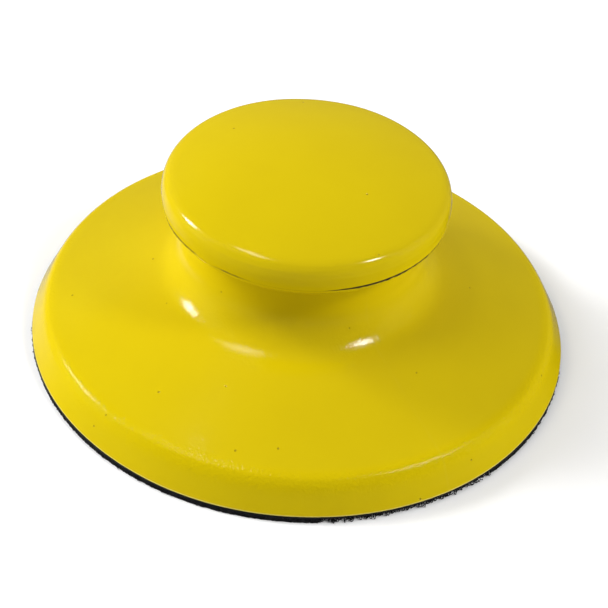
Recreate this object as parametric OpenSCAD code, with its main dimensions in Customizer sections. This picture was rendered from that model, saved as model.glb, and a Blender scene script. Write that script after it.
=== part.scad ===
// Hand polishing pad: one self-skinned foam moulding with a mushroom knob, a flared neck
// and a wide round flange, faced underneath with a disc of hook fastener.
// Origin: centre of the plane of the hook tips. +Z runs up the pad's axis to the knob.
// The side parts of the mould met in the XZ plane, and its cap met them at the knob's lip.

/* [Flange] */
// Diameter of the flange at its foot, which is the pad's nominal size
flange_d = 150; // [140:1:180]
// Height of the flange's edge above the hook disc, up to the sharp corner
edge_h = 8.4; // [7:0.1:12]
// Lean of the flange's side wall, in degrees from the vertical
wall_lean = 28; // [10:1:30]
// Slope of the flange's top, in degrees
top_slope = 18.5; // [12:0.5:20]
// Radius that rounds the corner between side wall and top
shoulder_r = 4.6; // [2:0.1:5]

/* [Neck] */
// Diameter of the neck at its narrowest
neck_d = 63.5; // [50:0.1:64]
// Height of the straight part of the neck
neck_h = 7; // [0.2:0.1:12]
// Radius of the hollow curve from the flange up to the neck
root_r = 12; // [8:0.1:16]
// Radius of the hollow curve from the neck out under the knob
throat_r = 3.5; // [2:0.1:4]

/* [Knob] */
// Diameter of the knob at its widest
knob_d = 77.3; // [77:0.1:90]
// Radius of the lip under the mould seam, at the bottom of the knob's side
lip_r = 2.6; // [1.2:0.1:3]
// Radius of the slight bulge of the knob's side, from the mould seam up to the rim
side_r = 10; // [8:0.5:20]
// Angle from the knob's widest line down to the mould seam, in degrees
seam_angle = 12; // [2:1:20]
// Angle from the knob's widest line up to the rim, in degrees
side_angle = 16; // [2:1:20]
// Radius of the rim above the side
rim_r = 4; // [2:0.1:8]
// Angle at which the rim's curve grows flatter, in degrees from the side
rim_angle = 60; // [30:1:70]
// Radius of the flatter curve that leads into the crown
brow_r = 5.2; // [3:0.1:12]
// Slope of the crown where it meets that curve, in degrees
crown_slope = 15; // [5:1:19]

/* [Skin] */
// Thickness of the dense skin on the knob, neck and flange
skin_t = 1; // [0.5:0.1:1.1]
// Thickness of the dense skin on the underside
base_skin_t = 0.8; // [0.5:0.1:1.5]

/* [Hook disc] */
// Diameter of the woven hook fastener disc
hook_d = 150; // [130:0.5:160]
// Height of the hooks
pile_h = 1.35; // [0.8:0.05:2]
// Thickness of the woven ground cloth
cloth_t = 0.4; // [0.2:0.05:0.6]
// Thickness of the coating that locks the hooks into the cloth
backcoat_t = 0.1; // [0.05:0.05:0.3]
// Thickness of the adhesive film between the coating and the foam
adhesive_t = 0.15; // [0.05:0.05:0.4]
// How far the adhesive film stops short of the edge
adhesive_inset = 0.6; // [0:0.1:3]

/* [Hidden] */
$fn = 96;

skin_yellow = [0.86, 0.76, 0.08];
foam_yellow = [0.93, 0.87, 0.45];
film_amber = [0.75, 0.66, 0.42];
coat_grey = [0.22, 0.22, 0.23];
cloth_black = [0.12, 0.12, 0.13];
hook_black = [0.07, 0.07, 0.08];

// Heights of the layers, from the hook tips up
cloth_z = pile_h;
backcoat_z = cloth_z + cloth_t;
adhesive_z = backcoat_z + backcoat_t;
base_z = adhesive_z + adhesive_t;
body_z = base_z + base_skin_t;

flange_r = flange_d / 2;
neck_r = neck_d / 2;
knob_r = knob_d / 2;

// Sharp corner of the flange, where the side wall's line and the top's line cross
corner = [flange_r - edge_h * tan(wall_lean), base_z + edge_h];

// Centres of the round stretches of the outline, each tangent to its neighbours
shoulder_c = corner - shoulder_r / cos(wall_lean + top_slope)
    * [cos(top_slope) - sin(wall_lean), cos(wall_lean) - sin(top_slope)];
root_x = neck_r + root_r;
root_c = [root_x, corner[1] + (root_r - (root_x - corner[0]) * sin(top_slope)) / cos(top_slope)];
throat_c = [neck_r + throat_r, root_c[1] + neck_h];
side_c = [knob_r - side_r, throat_c[1] + throat_r + lip_r + (side_r - lip_r) * sin(seam_angle)];
lip_c = side_c + (side_r - lip_r) * [cos(seam_angle), -sin(seam_angle)];
rim_c = side_c + (side_r - rim_r) * [cos(side_angle), sin(side_angle)];
brow_c = rim_c + (rim_r - brow_r) * [cos(rim_angle), sin(rim_angle)];
brow_end = 90 - crown_slope;
crown_c = [0, brow_c[1] - brow_c[0] * tan(brow_end)];
crown_r = brow_r + brow_c[0] / cos(brow_end);

// Points on an arc from angle a0 to a1. A hollow arc has a negative radius, so that
// the angles are always those of the surface's outward normal.
function arc(c, r, a0, a1, steps) =
    [for (i = [0:steps]) let (a = a0 + (a1 - a0) * i / steps) c + r * [cos(a), sin(a)]];

// The same list without points that repeat the one before
function distinct(p) =
    [for (i = [0:len(p) - 1]) if (i == 0 || norm(p[i] - p[max(i - 1, 0)]) > 0.001) p[i]];

// A point on the side wall at height z, a depth d inside the surface
function wall_point(d, z) = [flange_r - (z - base_z) * tan(wall_lean) - d / cos(wall_lean), z];

// The outline from the underside's skin up to the mould seam, a depth d inside the surface
function below_seam(d) = distinct(concat(
    [wall_point(d, body_z)],
    arc(shoulder_c, shoulder_r - d, wall_lean, 90 - top_slope, 6),
    arc(root_c, -root_r - d, 90 - top_slope, 0, 9),
    arc(throat_c, -throat_r - d, 0, -90, 8),
    arc(lip_c, lip_r - d, -90, -seam_angle, 4)));

// The outline from the mould seam up to the middle of the crown
function above_seam(d) = distinct(concat(
    arc(side_c, side_r - d, -seam_angle, side_angle, 4),
    arc(rim_c, rim_r - d, side_angle, rim_angle, 6),
    arc(brow_c, brow_r - d, rim_angle, brow_end, 2),
    arc(crown_c, crown_r - d, brow_end, 90, 5)));

function reversed(p) = [for (i = [len(p) - 1:-1:0]) p[i]];

// A shell between an outline and the same outline one skin deeper
module shell(outer, inner) rotate_extrude() polygon(concat(outer, reversed(inner)));

module disc(z, h, r) translate([0, 0, z]) cylinder(h = h, r = r);

module knob_skin() color(skin_yellow)
    shell(above_seam(0), above_seam(skin_t));

module body_skin() color(skin_yellow)
    shell(below_seam(0), below_seam(skin_t));

module base_skin() color(skin_yellow)
    translate([0, 0, base_z])
        cylinder(h = base_skin_t, r1 = flange_r, r2 = wall_point(0, body_z)[0]);

module foam_core() color(foam_yellow)
    rotate_extrude()
        polygon(distinct(concat([[0, body_z]], below_seam(skin_t), above_seam(skin_t))));

module adhesive_film() color(film_amber) disc(adhesive_z, adhesive_t, hook_d / 2 - adhesive_inset);

module hook_backcoat() color(coat_grey) disc(backcoat_z, backcoat_t, hook_d / 2);

module hook_cloth() color(cloth_black) disc(cloth_z, cloth_t, hook_d / 2);

module hook_pile() color(hook_black) disc(0, pile_h, hook_d / 2);

knob_skin();
body_skin();
base_skin();
foam_core();
adhesive_film();
hook_backcoat();
hook_cloth();
hook_pile();
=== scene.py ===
"""Looks of the hand polishing pad: glossy skinned foam with a mould seam, over a disc of hook fastener.

Metres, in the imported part's frame: the origin is the centre of the hook tips' plane, and +Z runs up to the
knob. The side parts of the mould met in the XZ plane.
"""
import math

import bpy
import numpy as np
from mathutils import Matrix, Vector, noise


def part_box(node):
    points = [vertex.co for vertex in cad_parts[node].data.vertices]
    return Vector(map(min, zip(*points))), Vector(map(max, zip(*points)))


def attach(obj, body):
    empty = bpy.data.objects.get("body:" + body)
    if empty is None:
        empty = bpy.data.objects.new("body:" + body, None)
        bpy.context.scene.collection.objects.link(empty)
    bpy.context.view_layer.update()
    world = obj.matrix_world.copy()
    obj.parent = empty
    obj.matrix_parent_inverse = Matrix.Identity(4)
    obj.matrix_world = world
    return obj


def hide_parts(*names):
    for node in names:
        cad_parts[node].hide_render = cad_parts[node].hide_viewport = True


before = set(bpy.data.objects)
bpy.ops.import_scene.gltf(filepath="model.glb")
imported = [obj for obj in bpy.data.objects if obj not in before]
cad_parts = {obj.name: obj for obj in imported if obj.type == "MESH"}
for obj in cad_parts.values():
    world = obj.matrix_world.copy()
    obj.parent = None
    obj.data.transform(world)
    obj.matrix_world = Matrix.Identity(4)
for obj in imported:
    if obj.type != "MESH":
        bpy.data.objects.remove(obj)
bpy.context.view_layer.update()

MM = 0.001

# ---------------------------------------------------------------- sizes, as in part.scad
WALL_LEAN = 28
TOP_SLOPE = 18.5
NECK_R = 31.75 * MM
NECK_H = 7 * MM
ROOT_R = 12 * MM
THROAT_R = 3.5 * MM
LIP_R = 2.6 * MM
SIDE_R = 10 * MM
SIDE_ANGLE = 16
RIM_R = 4 * MM
RIM_ANGLE = 60
BROW_R = 5.2 * MM
CROWN_SLOPE = 15
SEAM_ANGLE = 12
SKIN_T = 1 * MM
EDGE_H = 8.4 * MM

# The rest of the sizes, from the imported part
HOOK_TIP_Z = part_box("hook_pile")[0].z
CLOTH_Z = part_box("hook_cloth")[0].z
COAT_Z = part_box("hook_backcoat")[0].z
FILM_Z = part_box("adhesive_film")[0].z
BASE_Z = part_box("base_skin")[0].z
BODY_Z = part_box("base_skin")[1].z
FOOT_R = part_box("base_skin")[1].x
KNOB_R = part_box("knob_skin")[1].x
HOOK_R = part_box("hook_cloth")[1].x
FILM_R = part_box("adhesive_film")[1].x

# ---------------------------------------------------------------- choices of the visual model
# Faces round each turned skin
SEGMENTS = 768
# Turn of the whole scene about Z, in degrees. At 0 the camera stands on the pad's -Y side.
CAMERA_AZIMUTH = 56

# The shoulder's curve from side wall to top: the normal's direction where each stretch ends, and its radius
SHOULDER = [(44, 7 * MM), (66, 3 * MM), (90 - TOP_SLOPE, 10 * MM)]

# How open the mould seam is round the knob, where 1 is wide, by degrees to the right of the camera's side
SEAM_OPEN = [(-180, 0.6), (-100, 1.4), (-64, 1.2), (-52, 0.8), (-46, 0.6), (-42, 0), (-35, 0), (-30, 0.45),
             (-22, 0.35), (-18, 0), (9, 0), (15, 0.6), (26, 1), (38, 1.1), (50, 0.9), (80, 1.2), (180, 0.6)]
# The seam's groove and the dark paint in it, which is partly grime and partly painted shade of the groove:
# depth, half width, width of the dark paint and how soft its edge is
SEAM_DEPTH = 0.40 * MM
SEAM_HALF_WIDTH = 0.30 * MM
SEAM_DARK_WIDTH = 0.42 * MM
SEAM_DARK_SOFTNESS = 0.12 * MM

# How coarse the body's skin is, from 0 to 1, by distance from the axis: its root and its worn shoulder
COARSE = [(32 * MM, 0.1), (34 * MM, 0.32), (39 * MM, 0.32), (44 * MM, 0), (67 * MM, 0), (68.5 * MM, 0.8),
          (71.5 * MM, 1), (72.5 * MM, 0.2)]
# What COARSE is multiplied by, by degrees to the right of the camera's side
WORN = [(-180, 0.6), (-60, 0.6), (-38, 1), (60, 1), (110, 0.6), (180, 0.6)]
# How strong the rings on the knob's rim are, by the direction of the normal there
RINGED = [(-10, 0), (5, 1), (50, 1), (68, 0)]

# Rows of hooks across the disc, hooks matted along its edge, and pieces that all the hooks are split into
HOOK_ROWS = 104
EDGE_HOOKS = 4200
HOOK_SECTORS = 8
# Where the hooks' edge is ragged, in degrees to the right of the camera's side. Elsewhere it is even.
RAGGED_EDGE = (7, 45)
# How wide the even edge is, and its rings of hooks: distance from the disc's edge, and step in degrees
EDGE_WIDTH = 1.2 * MM
EDGE_RINGS = [(0.12 * MM, 0.16), (0.32 * MM, 0.2), (0.6 * MM, 0.25), (0.95 * MM, 0.3)]
# Radius of a hook's wire, radius of the curl at its tip, and sides of the wire's outline
WIRE_R = 0.10 * MM
CURL_R = 0.36 * MM
WIRE_SIDES = 4


def cos(degrees):
    return math.cos(math.radians(degrees))


def sin(degrees):
    return math.sin(math.radians(degrees))


def tan(degrees):
    return math.tan(math.radians(degrees))


# ---------------------------------------------------------------- outline
def outline_centres():
    """Centres of the round stretches of the outline, each tangent to its neighbours."""
    corner = np.array([FOOT_R - EDGE_H * tan(WALL_LEAN), BASE_Z + EDGE_H])
    root_x = NECK_R + ROOT_R
    root = np.array([root_x, corner[1] + (ROOT_R - (root_x - corner[0]) * sin(TOP_SLOPE)) / cos(TOP_SLOPE)])
    throat = np.array([NECK_R + THROAT_R, root[1] + NECK_H])
    to_lip = SIDE_R - LIP_R
    to_rim = SIDE_R - RIM_R
    side = np.array([KNOB_R - SIDE_R, throat[1] + THROAT_R + LIP_R + to_lip * sin(SEAM_ANGLE)])
    lip = side + to_lip * np.array([cos(SEAM_ANGLE), -sin(SEAM_ANGLE)])
    rim = side + to_rim * np.array([cos(SIDE_ANGLE), sin(SIDE_ANGLE)])
    brow = rim + (RIM_R - BROW_R) * np.array([cos(RIM_ANGLE), sin(RIM_ANGLE)])
    crown = np.array([0, brow[1] - brow[0] * tan(90 - CROWN_SLOPE)])
    return {"corner": corner, "root": root, "throat": throat, "lip": lip,
            "side": side, "rim": rim, "brow": brow, "crown": crown}


CENTRE = outline_centres()
CROWN_R = BROW_R + CENTRE["brow"][0] / cos(90 - CROWN_SLOPE)


def arc(centre, radius, start, end, step=4):
    """Points (x, z, direction of the outward normal) on an arc. A hollow arc has a negative radius."""
    count = max(2, math.ceil(abs(end - start) / step) + 1)
    return [(centre[0] + radius * cos(a), centre[1] + radius * sin(a), a)
            for a in np.linspace(start, end, count)]


def shoulder_points(depth):
    """Arcs of the shoulder, placed so that they run smoothly out of the side wall and into the top."""
    reach = np.zeros(2)
    start = WALL_LEAN
    for end, radius in SHOULDER:
        reach += radius * np.array([cos(end) - cos(start), sin(end) - sin(start)])
        start = end
    down_wall = np.array([sin(WALL_LEAN), -cos(WALL_LEAN)])
    along_top = np.array([-cos(TOP_SLOPE), sin(TOP_SLOPE)])
    back = np.linalg.solve(np.column_stack([-down_wall, along_top]), reach)[0]
    at = CENTRE["corner"] + back * down_wall
    start = WALL_LEAN
    points = []
    for end, radius in SHOULDER:
        centre = at - radius * np.array([cos(start), sin(start)])
        points += arc(centre, radius - depth, start, end, 3)
        at = centre + radius * np.array([cos(end), sin(end)])
        start = end
    return points


def spaced(points, gap):
    """The outline with points added where two are further apart than gap, and none that repeat."""
    out = [points[0]]
    for point in points[1:]:
        last = out[-1]
        length = math.hypot(point[0] - last[0], point[1] - last[1])
        if length < 1e-6:
            continue
        parts = math.ceil(length / gap)
        for i in range(1, parts + 1):
            out.append(tuple(last[k] + (point[k] - last[k]) * i / parts for k in range(3)))
    return out


def wall_point(depth, z):
    """The point of the side wall's line at height z, that far inside the surface."""
    return (FOOT_R - (z - BASE_Z) * tan(WALL_LEAN) - depth / cos(WALL_LEAN), z, WALL_LEAN)


def below_seam(depth):
    """The outline from the underside's skin up to the mould seam, that far inside the surface."""
    return ([wall_point(depth, BODY_Z)]
            + shoulder_points(depth)
            + arc(CENTRE["root"], -ROOT_R - depth, 90 - TOP_SLOPE, 0)
            + arc(CENTRE["throat"], -THROAT_R - depth, 0, -90, 6)
            + arc(CENTRE["lip"], LIP_R - depth, -90, -SEAM_ANGLE, 3))


def above_seam(depth):
    """The outline from the mould seam up to the middle of the crown, that far inside the surface."""
    return (arc(CENTRE["side"], SIDE_R - depth, -SEAM_ANGLE, SIDE_ANGLE, 1)
            + arc(CENTRE["rim"], RIM_R - depth, SIDE_ANGLE, RIM_ANGLE)
            + arc(CENTRE["brow"], BROW_R - depth, RIM_ANGLE, 90 - CROWN_SLOPE)
            + arc(CENTRE["crown"], CROWN_R - depth, 90 - CROWN_SLOPE, 90, 1))


# ---------------------------------------------------------------- mesh helpers
def new_piece(name, vertices, faces, material, smooth=True, crease=None):
    """A mesh object. Edges sharper than crease, in degrees, are shaded as edges."""
    mesh = bpy.data.meshes.new(name)
    mesh.from_pydata([tuple(v) for v in vertices], [], faces)
    mesh.validate()
    mesh.materials.append(material)
    mesh.polygons.foreach_set("use_smooth", [smooth] * len(mesh.polygons))
    if crease:
        mesh.set_sharp_from_angle(angle=math.radians(crease))
    mesh.update()
    piece = bpy.data.objects.new(name, mesh)
    bpy.context.scene.collection.objects.link(piece)
    return piece


def round_the_axis(segments):
    return np.arange(segments) * 2 * math.pi / segments


def lathe(name, rings, material, segments=SEGMENTS, closed=True, relief=None, marks=None):
    """A surface turned about Z. rings are (x, z, normal direction); a ring with x = 0 is one point.

    relief(ring index, azimuths) gives how far each ring stands out of the outline, and marks the same for
    named vertex attributes."""
    azimuths = round_the_axis(segments)
    vertices, starts, counts = [], [], []
    for i, (x, z, a) in enumerate(rings):
        starts.append(len(vertices))
        if x < 1e-7:
            vertices.append((0, 0, z))
            counts.append(1)
            continue
        out = relief(i, azimuths) if relief else np.zeros(segments)
        radius = x + out * cos(a)
        height = z + out * sin(a)
        vertices.extend(zip(radius * np.cos(azimuths), radius * np.sin(azimuths), height))
        counts.append(segments)
    faces = []
    pairs = list(zip(range(len(rings) - 1), range(1, len(rings))))
    if closed:
        pairs.append((len(rings) - 1, 0))
    for i, j in pairs:
        if counts[i] == 1 and counts[j] == 1:
            continue
        for k in range(segments):
            n = (k + 1) % segments
            if counts[j] == 1:
                faces.append((starts[i] + k, starts[i] + n, starts[j]))
            elif counts[i] == 1:
                faces.append((starts[i], starts[j] + n, starts[j] + k))
            else:
                faces.append((starts[i] + k, starts[i] + n, starts[j] + n, starts[j] + k))
    piece = new_piece(name, vertices, faces, material, crease=45)
    for mark, value in (marks or {}).items():
        attribute = piece.data.attributes.new(mark, "FLOAT", "POINT")
        values = np.zeros(len(vertices), np.float32)
        for i, count in enumerate(counts):
            values[starts[i]:starts[i] + count] = value(i, azimuths)[:count]
        attribute.data.foreach_set("value", values)
    return piece


def on_surface(x, z, azimuths):
    return [Vector((x * math.cos(t), x * math.sin(t), z)) for t in azimuths]


def waviness(points, size, height, seed):
    """Waves of about that size and height in a surface, different for each seed."""
    shift = Vector((seed * 3.1, seed * 1.7, seed * 2.3))
    return np.array([height * noise.noise(p / size + shift) for p in points])


def unevenness(x, z, azimuths):
    """How far the moulded skin stands out of its outline: slow waves with smaller ones on them."""
    points = on_surface(x, z, azimuths)
    return waviness(points, 22 * MM, 0.10 * MM, 1) + waviness(points, 7 * MM, 0.02 * MM, 2)


# ---------------------------------------------------------------- node helpers
class Nodes:
    """Short calls for building a material's node tree. Noise scales count the bumps in a metre."""

    def __init__(self, name):
        self.material = bpy.data.materials.new(name)
        self.material.use_nodes = True
        self.tree = self.material.node_tree
        self.shader = self.tree.nodes["Principled BSDF"]
        self.place = self.add("ShaderNodeTexCoord").outputs["Object"]

    def add(self, kind, **settings):
        node = self.tree.nodes.new(kind)
        for key, value in settings.items():
            setattr(node, key, value)
        return node

    def put(self, socket, value):
        if isinstance(value, bpy.types.NodeSocket):
            self.tree.links.new(value, socket)
        else:
            socket.default_value = value

    def shade(self, **values):
        for key, value in values.items():
            self.put(self.shader.inputs[key.replace("_", " ")], value)

    def noise(self, scale, detail=2.0, roughness=0.5, place=None):
        node = self.add("ShaderNodeTexNoise")
        self.put(node.inputs["Vector"], place or self.place)
        self.put(node.inputs["Scale"], scale)
        self.put(node.inputs["Detail"], detail)
        self.put(node.inputs["Roughness"], roughness)
        return node.outputs["Fac"]

    def voronoi(self, scale):
        """Distance to the nearest of many scattered points."""
        node = self.add("ShaderNodeTexVoronoi")
        self.put(node.inputs["Vector"], self.place)
        self.put(node.inputs["Scale"], scale)
        return node.outputs["Distance"]

    def math(self, operation, a, b=0.0):
        node = self.add("ShaderNodeMath", operation=operation)
        self.put(node.inputs[0], a)
        self.put(node.inputs[1], b)
        return node.outputs[0]

    def axes(self):
        """The X, Y and Z outputs of the place on the piece."""
        node = self.add("ShaderNodeSeparateXYZ")
        self.put(node.inputs[0], self.place)
        return node.outputs

    def spread(self, value, from_low, from_high, to_low=0.0, to_high=1.0):
        """The value moved from one range to another, and no further than its ends."""
        node = self.add("ShaderNodeMapRange", clamp=True)
        for socket, v in zip(node.inputs, (value, from_low, from_high, to_low, to_high)):
            self.put(socket, v)
        return node.outputs[0]

    def mix(self, factor, a, b):
        """Colour a where factor is 0, and colour b where it is 1."""
        node = self.add("ShaderNodeMix", data_type="RGBA")
        self.put(node.inputs["Factor"], factor)
        self.put(node.inputs[6], (*a, 1) if isinstance(a, tuple) else a)
        self.put(node.inputs[7], (*b, 1) if isinstance(b, tuple) else b)
        return node.outputs[2]

    def mark(self, name):
        """A vertex attribute of the piece, which is 0 on a piece that hasn't got it."""
        return self.add("ShaderNodeAttribute", attribute_name=name).outputs["Fac"]

    def bump(self, height, distance, after=None):
        """A normal tilted by a height map, on top of the bumps in after."""
        node = self.add("ShaderNodeBump")
        self.put(node.inputs["Height"], height)
        self.put(node.inputs["Distance"], distance)
        if after is not None:
            self.put(node.inputs["Normal"], after)
        return node.outputs["Normal"]


# ---------------------------------------------------------------- materials
YELLOW = (0.578, 0.438, 0.0015)
YELLOW_DEEP = (0.562, 0.421, 0.0015)
# Pale yellow of painted highlights: the foot's bead and, faintly, the parting ridge
PAINTED_HIGHLIGHT_YELLOW = (0.70, 0.60, 0.16)
PINHOLE_BROWN = (0.16, 0.11, 0.01)
# Dark paint of the seam: grime, and painted shade of its groove
SEAM_GRIME_AND_SHADE = (0.02, 0.017, 0.012)
# Weight of the glossy coat where the skin is smooth, and where it is coarsest
GLOSS = 0.62
GLOSS_WORN = 0.11


def rim_rings(n):
    """Height of faint rings round the knob: noise that is fast in radius and height, and slow in X."""
    fast = 750
    slow = 45
    flat = n.add("ShaderNodeVectorMath", operation="MULTIPLY")
    n.put(flat.inputs[0], n.place)
    n.put(flat.inputs[1], (1, 1, 0))
    radius = n.add("ShaderNodeVectorMath", operation="LENGTH")
    n.put(radius.inputs[0], flat.outputs[0])
    axes = n.axes()
    place = n.add("ShaderNodeCombineXYZ")
    n.put(place.inputs["X"], n.math("MULTIPLY", radius.outputs["Value"], fast))
    n.put(place.inputs["Y"], n.math("MULTIPLY", axes["Z"], fast))
    n.put(place.inputs["Z"], n.math("MULTIPLY", axes["X"], slow))
    return n.math("MULTIPLY", n.noise(1, 2, place=place.outputs[0]), n.mark("ripple"))


def parting_ridge(n):
    """Height of the line in the XZ plane where the mould's side parts met, stronger in some places."""
    line = n.spread(n.math("ABSOLUTE", n.axes()["Y"]), 0.1 * MM, 0.55 * MM, 1, 0)
    return n.math("MULTIPLY", line, n.spread(n.noise(120, 2), 0.4, 0.65, 0.2, 1))


def skin_material(name, coat_roughness, grain, on_knob):
    """Glossy moulded skin of polyurethane foam, dyed through, with pinholes, and grime and painted shade in
    its seam.

    The knob's has rings on its rim. The body's has a parting line with a faint painted highlight along it
    and a painted highlight on the bead at its foot, and is duller where it is coarse."""
    n = Nodes(name)
    pinholes = n.spread(n.voronoi(120), 0.02, 0.045, 1, 0)
    colour = n.mix(n.spread(n.noise(45, 3), 0.3, 0.7), YELLOW_DEEP, YELLOW)
    colour = n.mix(n.math("MULTIPLY", pinholes, 0.6), colour, PINHOLE_BROWN)
    # Painted highlight: the foot's bead is painted pale.
    colour = n.mix(n.mark("lip"), colour, PAINTED_HIGHLIGHT_YELLOW)
    # The seam painted dark: grime, and painted shade of its groove.
    colour = n.mix(n.mark("seam"), colour, SEAM_GRIME_AND_SHADE)

    rough = n.spread(n.noise(160, 4), 0.3, 0.7, 0.10, 0.14)
    rough = n.math("ADD", rough, n.math("MULTIPLY", n.mark("seam"), 0.4))
    rough = n.math("ADD", rough, n.math("MULTIPLY", n.mark("coarse"), 0.04))

    normal = n.bump(n.noise(420, 2), 0.015 * MM * grain)
    fine_grain = n.math("MULTIPLY", n.noise(1300, 2), n.math("ADD", n.mark("coarse"), 0.06))
    normal = n.bump(fine_grain, 0.16 * MM * grain, after=normal)
    normal = n.bump(pinholes, -0.15 * MM, after=normal)
    if on_knob:
        gloss = GLOSS
        normal = n.bump(rim_rings(n), 0.12 * MM, after=normal)
    else:
        gloss = n.spread(n.mark("coarse"), 0.1, 0.9, GLOSS, GLOSS_WORN)
        ridge = parting_ridge(n)
        normal = n.bump(ridge, 0.007 * MM, after=normal)
        # Faint painted highlight: the parting ridge is painted a little paler.
        colour = n.mix(n.math("MULTIPLY", ridge, 0.03), colour, PAINTED_HIGHLIGHT_YELLOW)

    n.shade(Base_Color=colour, Roughness=rough, Normal=normal, Coat_Weight=gloss, Coat_Normal=normal)
    n.shader.inputs["IOR"].default_value = 1.5
    n.shader.inputs["Specular IOR Level"].default_value = 0.06
    n.shader.inputs["Coat Roughness"].default_value = coat_roughness
    return n.material


def foam_material():
    """Cut face of fine closed-cell foam."""
    n = Nodes("fine_foam")
    cells = n.voronoi(2500)
    # Painted shade: each cell is darker towards its middle, where the bump makes its hollow.
    colour = n.mix(n.spread(cells, 0.0, 0.6), (0.62, 0.48, 0.09), (0.80, 0.66, 0.16))
    colour = n.mix(n.spread(n.noise(60, 3), 0.35, 0.65, 0, 0.35), colour, (0.86, 0.74, 0.26))
    n.shade(Base_Color=colour, Roughness=0.85, Normal=n.bump(cells, 0.2 * MM))
    return n.material


def film_material():
    """Contact adhesive, brushed on and dried. It is painted near-black, partly as painted shade of the gap
    under the skin's edge.
    """
    n = Nodes("adhesive_and_gap_shade")
    streaks = n.noise(220, 4, 0.6)
    # Painted near-black, partly as painted shade of the gap under the skin's edge; the streaks are the
    # glue's own.
    colour = n.mix(n.spread(streaks, 0.35, 0.65), (0.05, 0.04, 0.02), (0.10, 0.075, 0.03))
    rough = n.spread(streaks, 0.3, 0.7, 0.35, 0.6)
    n.shade(Base_Color=colour, Roughness=rough, Normal=n.bump(streaks, 0.1 * MM))
    return n.material


def coat_material():
    """Flat coating on the back of the hook tape."""
    n = Nodes("back_coating")
    speckle = n.noise(1400, 3, 0.6)
    colour = n.mix(n.spread(speckle, 0.35, 0.65), (0.016, 0.016, 0.017), (0.035, 0.035, 0.037))
    n.shade(Base_Color=colour, Roughness=0.7, Normal=n.bump(speckle, 0.05 * MM))
    return n.material


def cloth_material():
    """Plain weave of nylon yarn: each crossing of a warp and a weft is one round bump."""
    n = Nodes("woven_nylon")
    yarn_pitch = 0.45 * MM
    axes = n.axes()
    warp = n.math("SINE", n.math("MULTIPLY", axes["X"], math.pi / yarn_pitch))
    weft = n.math("SINE", n.math("MULTIPLY", axes["Y"], math.pi / yarn_pitch))
    height = n.math("ABSOLUTE", n.math("MULTIPLY", warp, weft))
    fuzz = n.noise(1800, 3, 0.6)
    # Painted shade: the weave is darker where it is low, between the crossings.
    colour = n.mix(n.spread(height, 0, 0.9), (0.003, 0.003, 0.004), (0.010, 0.010, 0.011))
    colour = n.mix(n.spread(fuzz, 0.5, 0.75, 0, 0.5), colour, (0.025, 0.025, 0.026))
    normal = n.bump(height, 0.12 * MM)
    normal = n.bump(fuzz, 0.05 * MM, after=normal)
    n.shade(Base_Color=colour, Roughness=0.6, Normal=normal)
    n.shader.inputs["Specular IOR Level"].default_value = 0.3
    n.shader.inputs["Sheen Weight"].default_value = 0.12
    n.shader.inputs["Sheen Roughness"].default_value = 0.4
    return n.material


def hook_material():
    """Black nylon monofilament. Each hook's wear differs a little."""
    n = Nodes("nylon_hooks")
    wear = n.noise(900, 2)
    colour = n.mix(n.spread(wear, 0.35, 0.65), (0.007, 0.007, 0.008), (0.022, 0.022, 0.024))
    n.shade(Base_Color=colour, Roughness=n.spread(wear, 0.3, 0.7, 0.3, 0.5),
            Normal=n.bump(n.noise(5000, 2), 0.01 * MM))
    n.shader.inputs["Specular IOR Level"].default_value = 0.3
    return n.material


# ---------------------------------------------------------------- foam moulding
def turns_from_camera(degrees):
    """Degrees to the right of the camera's side, from -180 to 180."""
    return (np.asarray(degrees) - CAMERA_AZIMUTH + 90 + 180) % 360 - 180


def by_turn(table, azimuths):
    """Values of a table by degrees to the right of the camera's side, at azimuths in radians."""
    return np.interp(turns_from_camera(np.degrees(azimuths)), *zip(*table))


def seam_strength(azimuths):
    """How wide the seam is open at each azimuth, with ragged edges."""
    ragged = np.array([noise.noise(Vector((math.cos(t) * 25, math.sin(t) * 25, 4.0))) for t in azimuths])
    return np.clip(by_turn(SEAM_OPEN, azimuths) * (1 + 0.5 * ragged), 0, 1.5)


def skin_shell(name, outer, inner, material, seam_end, strength, extra_marks):
    """A shell of skin between two outlines, with half of the seam's groove at one end of the outer one.

    extra_marks are vertex attributes beside the seam's: name to function(x, normal direction, azimuths)."""
    outer = spaced(outer, 1.5 * MM)
    inner = spaced(inner, 4 * MM)
    rings = outer + inner[::-1]
    seam_at = outer[seam_end]
    distance = [math.hypot(x - seam_at[0], z - seam_at[1]) for x, z, a in outer]

    def relief(i, azimuths):
        if i >= len(outer):
            return np.zeros(len(azimuths))
        groove = math.exp(-(distance[i] / SEAM_HALF_WIDTH) ** 2)
        x, z, a = outer[i]
        return unevenness(x, z, azimuths) - SEAM_DEPTH * groove * np.minimum(strength, 1)

    # How strongly the seam's groove is painted dark: grime, and painted shade of the groove.
    def seam(i, azimuths):
        if i >= len(outer):
            return np.zeros(len(azimuths))
        return np.clip((SEAM_DARK_WIDTH * strength - distance[i]) / SEAM_DARK_SOFTNESS + 0.3, 0, 1)

    marks = {"seam": seam}
    for mark, value in extra_marks.items():
        marks[mark] = lambda i, azimuths, value=value: value(rings[i][0], rings[i][2], azimuths)
    return lathe(name, rings, material, relief=relief, marks=marks)


def coarseness(x, normal, azimuths):
    return by_turn(WORN, azimuths) * np.interp(x, *zip(*COARSE))


def ringedness(x, normal, azimuths):
    return np.full(len(azimuths), np.interp(normal, *zip(*RINGED)))


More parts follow.
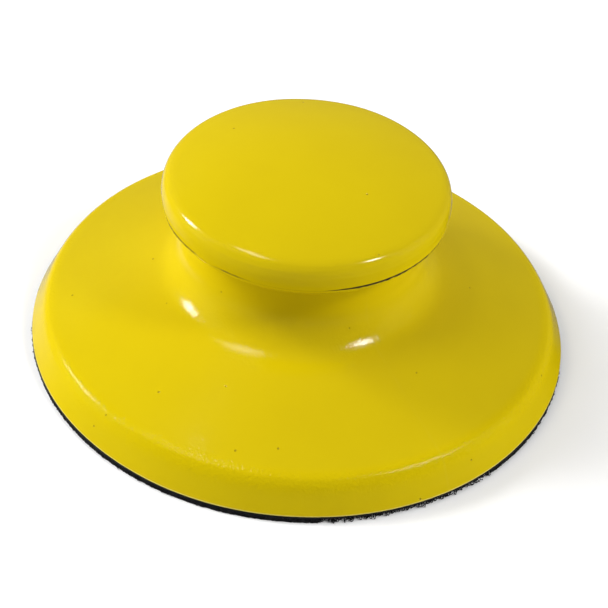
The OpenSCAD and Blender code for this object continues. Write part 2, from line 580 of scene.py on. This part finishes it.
def underside_skin(material):
    """A flat disc of skin, whose cut edge is a rounded bead at the foot of the side wall."""
    bead_r = 0.15 * MM
    bead = wall_point(bead_r, BASE_Z + bead_r)
    foot = ([(FOOT_R - 0.9 * MM, BASE_Z, -90)] + arc(bead, bead_r, -90, WALL_LEAN, 20)
            + [wall_point(0, BASE_Z + 0.25 * MM), wall_point(0, BASE_Z + 0.4 * MM), wall_point(0, BODY_Z)])
    below = [(0, BASE_Z, -90), (20 * MM, BASE_Z, -90), (45 * MM, BASE_Z, -90)]
    above = [(60 * MM, BODY_Z, 90), (30 * MM, BODY_Z, 90), (0, BODY_Z, 90)]
    rings = below + foot + above

    def relief(i, azimuths):
        if not len(below) < i < len(below) + len(foot):
            return np.zeros(len(azimuths))
        x, z, a = rings[i]
        return unevenness(x, z, azimuths)

    # Where the bead at the foot is painted pale: a painted highlight.
    def lip(i, azimuths):
        return np.full(len(azimuths), 0.8 if len(below) < i < len(below) + len(foot) - 2 else 0.0)

    return lathe("underside_skin", rings, material, closed=False, relief=relief, marks={"lip": lip})


def build_skin():
    """The moulding's skin: three shells that meet at the mould's parting lines."""
    knob_material = skin_material("knob_skin_yellow", 0.11, 0.3, on_knob=True)
    body_material = skin_material("body_skin_yellow", 0.09, 1.0, on_knob=False)
    strength = seam_strength(round_the_axis(SEGMENTS))
    knob = skin_shell("knob_cap_skin", above_seam(0), above_seam(SKIN_T), knob_material, 0, strength,
                      {"ripple": ringedness})
    body = skin_shell("flange_and_neck_skin", below_seam(0), below_seam(SKIN_T), body_material, -1, strength,
                      {"coarse": coarseness})
    base = underside_skin(body_material)
    for piece, node in ((knob, "knob_skin"), (body, "body_skin"), (base, "base_skin")):
        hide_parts(node)
    return [knob, body, base]


def build_core():
    """The soft foam inside, a hair smaller than the skin's inner face."""
    gap = 0.02 * MM
    rings = spaced([(0, BODY_Z + gap, -90)] + below_seam(SKIN_T + gap) + above_seam(SKIN_T + gap), 3 * MM)
    core = lathe("foam_core_solid", rings, foam_material(), segments=192, closed=False)
    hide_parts("foam_core")
    return core


# ---------------------------------------------------------------- hook fastener
def layer(name, low, high, radius, material, wobble, seed):
    """A thin disc whose cut edge wanders a little and is rounded over."""
    soft = min(0.3 * (high - low), 0.08 * MM)
    flat = [0, radius * 0.4, radius * 0.8, radius - 2 * MM]
    edge = [(radius - soft, low, -45), (radius, low + soft, 0),
            (radius, high - soft, 0), (radius - soft, high, 45)]
    rings = [(x, low, -90) for x in flat] + edge + [(x, high, 90) for x in flat[::-1]]

    def relief(i, azimuths):
        if not len(flat) <= i < len(flat) + len(edge):
            return np.zeros(len(azimuths))
        points = on_surface(radius, 0, azimuths)
        out = waviness(points, 9 * MM, wobble, seed) + waviness(points, 1.3 * MM, wobble * 0.5, seed + 1)
        return out - wobble * 0.6

    return lathe(name, rings, material, segments=512, closed=False, relief=relief)


def in_even_edge(azimuths):
    """Whether the hooks' edge is dense and even at azimuths in degrees."""
    turns = turns_from_camera(azimuths)
    return (turns < RAGGED_EDGE[0]) | (turns > RAGGED_EDGE[1])


def hook_places(rng):
    """Places and turns of the hooks, one row for each: x, y and degrees.

    Rows run across the disc, each row's hooks facing the other way. Along the edge they are matted where the
    disc was cut through them, or stand in dense rings where the edge is even."""
    pitch = 2 * HOOK_R / HOOK_ROWS
    places = []
    for row in range(HOOK_ROWS):
        y = -HOOK_R + (row + 0.5) * pitch
        half = math.sqrt(max(0.0, (HOOK_R - 0.35 * MM) ** 2 - y * y))
        for x in np.arange(-half + 0.5 * (row % 2) * pitch, half, pitch):
            places.append((x, y, 180.0 * (row % 2)))
    for _ in range(EDGE_HOOKS):
        azimuth = rng.uniform(0, 360)
        r = HOOK_R - 0.25 * MM - abs(rng.normal(0, 1.3 * MM))
        places.append((r * cos(azimuth), r * sin(azimuth), rng.uniform(0, 360)))
    places = np.array(places)
    places[:, :2] += rng.normal(0, 0.10 * MM, (len(places), 2))
    places[:, 2] += rng.normal(0, 22, len(places))

    azimuths = np.degrees(np.arctan2(places[:, 1], places[:, 0]))
    at_edge = np.hypot(places[:, 0], places[:, 1]) > HOOK_R - EDGE_WIDTH
    places = list(places[~(at_edge & in_even_edge(azimuths))])
    for inset, step in EDGE_RINGS:
        for azimuth in np.arange(0, 360, step):
            if in_even_edge(azimuth):
                r = HOOK_R - inset - abs(rng.normal(0, 0.04 * MM))
                places.append((r * cos(azimuth), r * sin(azimuth), azimuth + 90 + rng.normal(0, 12)))
    return np.array(places)


def hook_shape(length):
    """Vertices and faces of one hook: a straight stalk down from the cloth and a curl at its tip."""
    bend = [(0, length + 0.1 * MM), (0, CURL_R + WIRE_R)]
    for a in range(20, 221, 40):
        bend.append((CURL_R - CURL_R * cos(a), CURL_R + WIRE_R - CURL_R * sin(a)))
    tangents = np.gradient(np.array(bend), axis=0)
    tangents /= np.linalg.norm(tangents, axis=1)[:, None]
    corners = np.arange(WIRE_SIDES) * 2 * math.pi / WIRE_SIDES + math.pi / 4
    vertices = []
    for (u, z), (tu, tz) in zip(bend, tangents):
        for t in corners:
            side = WIRE_R * math.cos(t)
            vertices.append((u - tz * side, WIRE_R * math.sin(t), z + tu * side))
    faces = []
    for start in range(0, (len(bend) - 1) * WIRE_SIDES, WIRE_SIDES):
        for k in range(WIRE_SIDES):
            n = (k + 1) % WIRE_SIDES
            faces.append((start + k, start + n, start + WIRE_SIDES + n, start + WIRE_SIDES + k))
    faces.append(tuple(range(WIRE_SIDES))[::-1])
    faces.append(tuple(range(len(vertices) - WIRE_SIDES, len(vertices))))
    return np.array(vertices), faces


def hook_mesh(name, places, rng, material):
    """Hooks of monofilament at those places. Each leans and is pressed down by its own amount."""
    length = CLOTH_Z - HOOK_TIP_Z
    template, template_faces = hook_shape(length)
    vertices, faces = [], []
    for x, y, turn in places:
        in_edge = math.hypot(x, y) > HOOK_R - EDGE_WIDTH and in_even_edge(math.degrees(math.atan2(y, x)))
        lean_x, lean_y = rng.normal(0, 0.02 if in_edge else 0.10, 2)
        squash = 1 - abs(rng.normal(0, 0.06))
        drop = length - template[:, 2]
        px = template[:, 0] * cos(turn) - template[:, 1] * sin(turn) + lean_x * drop
        py = template[:, 0] * sin(turn) + template[:, 1] * cos(turn) + lean_y * drop
        pz = CLOTH_Z - drop * squash
        start = len(vertices)
        vertices.extend(zip(px + x, py + y, np.maximum(pz, HOOK_TIP_Z)))
        faces.extend(tuple(start + v for v in face) for face in template_faces)
    return new_piece(name, vertices, faces, material)


def build_hook_disc():
    film = layer("adhesive_film_layer", FILM_Z, BASE_Z, FILM_R, film_material(), 0.25 * MM, 11)
    coat = layer("back_coating_layer", COAT_Z, FILM_Z, HOOK_R, coat_material(), 0.10 * MM, 13)
    cloth = layer("woven_hook_cloth", CLOTH_Z, COAT_Z, HOOK_R, cloth_material(), 0.10 * MM, 13)
    rng = np.random.default_rng(5)
    places = hook_places(rng)
    material = hook_material()
    sectors = np.degrees(np.arctan2(places[:, 1], places[:, 0])) % 360 // (360 / HOOK_SECTORS)
    hooks = []
    for sector in range(HOOK_SECTORS):
        hooks.append(hook_mesh(f"hooks_sector_{sector + 1}", places[sectors == sector], rng, material))
    for piece, node, slot in ((film, "adhesive_film", "adhesive"), (coat, "hook_backcoat", "backcoat"),
                              (cloth, "hook_cloth", "cloth")):
        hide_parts(node)
    for piece in hooks:
        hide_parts("hook_pile")
    return [film, coat, cloth, *hooks]


# ---------------------------------------------------------------- scene
def from_camera_side(x, y, z):
    """A point given with the camera on the -Y side, turned to where the camera is."""
    return Matrix.Rotation(math.radians(CAMERA_AZIMUTH), 4, "Z") @ Vector((x, y, z))


def look_from(place, aim, roll=0.0):
    turn = (aim - place).to_track_quat("-Z", "Y").to_matrix().to_4x4()
    return Matrix.Translation(place) @ turn @ Matrix.Rotation(math.radians(roll), 4, "Z")


def add_camera():
    data = bpy.data.cameras.new("photo_view")
    data.lens = 87.74
    data.shift_x = 0.0987
    camera = bpy.data.objects.new("photo_view", data)
    place = from_camera_side(0, -0.31707, 0.28270)
    aim = from_camera_side(-0.0152, 0, 0.0051)
    camera.matrix_world = look_from(place, aim, roll=2.7)
    bpy.context.scene.collection.objects.link(camera)
    bpy.context.scene.camera = camera


def add_softbox(name, azimuth, elevation, distance, size, brightness, glossy=True):
    """A square or oblong lamp that faces the pad, with brightness as its radiance.

    azimuth is counted from the camera's right. A lamp that isn't glossy has no mirror image in the pad."""
    data = bpy.data.lights.new(name, "AREA")
    data.shape = "RECTANGLE"
    data.size, data.size_y = size
    data.energy = brightness * math.pi * size[0] * size[1]
    lamp = bpy.data.objects.new(name, data)
    level = distance * cos(elevation)
    place = from_camera_side(level * cos(azimuth), level * sin(azimuth), distance * sin(elevation))
    lamp.matrix_world = look_from(place, from_camera_side(0, 0, 0.03))
    lamp.visible_glossy = glossy
    bpy.context.scene.collection.objects.link(lamp)


def add_floor():
    n = Nodes("pale_paper")
    n.shade(Base_Color=n.mix(n.noise(40, 4), (0.86, 0.86, 0.86), (0.90, 0.90, 0.90)), Roughness=0.9)
    n.shader.inputs["Emission Color"].default_value = (1, 1, 1, 1)
    n.shader.inputs["Emission Strength"].default_value = 0.05
    half = 3.0
    z = HOOK_TIP_Z - 0.02 * MM
    corners = [(-half, -half, z), (half, -half, z), (half, half, z), (-half, half, z)]
    floor = new_piece("floor", corners, [(0, 1, 2, 3)], n.material, smooth=False)
    floor.visible_glossy = False


def add_world(room, backdrop):
    """What the gloss mirrors beyond the lamps. The world lights nothing else.

    It is a dim room above and a dark one below, with the pale sweep of the paper low down behind the pad."""
    world = bpy.data.worlds.new("studio")
    bpy.context.scene.world = world
    world.use_nodes = True
    nodes, links = world.node_tree.nodes, world.node_tree.links

    def ramp(value, start, end, top):
        """0 up to start and top from end on."""
        node = nodes.new("ShaderNodeMapRange")
        links.new(value, node.inputs["Value"])
        node.inputs["From Min"].default_value = start
        node.inputs["From Max"].default_value = end
        node.inputs["To Max"].default_value = top
        return node.outputs[0]

    direction = nodes.new("ShaderNodeTexCoord").outputs["Generated"]
    parts = nodes.new("ShaderNodeSeparateXYZ")
    links.new(direction, parts.inputs[0])
    behind = nodes.new("ShaderNodeVectorMath")
    behind.operation = "DOT_PRODUCT"
    links.new(direction, behind.inputs[0])
    behind.inputs[1].default_value = from_camera_side(-0.45, 0.9, 0)

    mirrored = nodes.new("ShaderNodeMath")
    mirrored.operation = "MULTIPLY_ADD"
    links.new(ramp(behind.outputs["Value"], 0.35, 0.9, backdrop), mirrored.inputs[0])
    links.new(ramp(parts.outputs["Z"], -0.12, -0.32, 1), mirrored.inputs[1])
    links.new(ramp(parts.outputs["Z"], -0.35, 0.05, room), mirrored.inputs[2])

    gloss_only = nodes.new("ShaderNodeMath")
    gloss_only.operation = "MULTIPLY"
    links.new(nodes.new("ShaderNodeLightPath").outputs["Is Glossy Ray"], gloss_only.inputs[0])
    links.new(mirrored.outputs[0], gloss_only.inputs[1])
    background = nodes["Background"]
    background.inputs["Color"].default_value = (1, 1, 1, 1)
    links.new(gloss_only.outputs[0], background.inputs["Strength"])


pieces = build_skin() + [build_core()] + build_hook_disc()
for piece in pieces:
    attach(piece, "root")

add_floor()
add_camera()
add_world(room=0.13, backdrop=0.5)
add_softbox("left_box", 168.6, 35.9, 1.5, (0.23, 0.34), 30)
add_softbox("left_box_fill", 168.6, 35.9, 1.55, (0.5, 0.5), 6.2, glossy=False)
add_softbox("top_box", 189, 71.7, 1.5, (0.46, 0.20), 7.5)
add_softbox("right_box", -24.1, 48.4, 1.5, (0.24, 0.24), 42)
add_softbox("high_left_fill", 200, 50, 1.55, (0.5, 0.5), 7.2, glossy=False)
add_softbox("low_left_fill", 180, 20, 1.6, (1.0, 1.0), 4.7, glossy=False)
add_softbox("low_right_fill", 0, 20, 1.6, (1.0, 1.0), 6.1, glossy=False)
add_softbox("back_left_fill", 135, 20, 1.6, (1.0, 1.0), 4.0, glossy=False)
bpy.context.scene.view_settings.view_transform = "Standard"
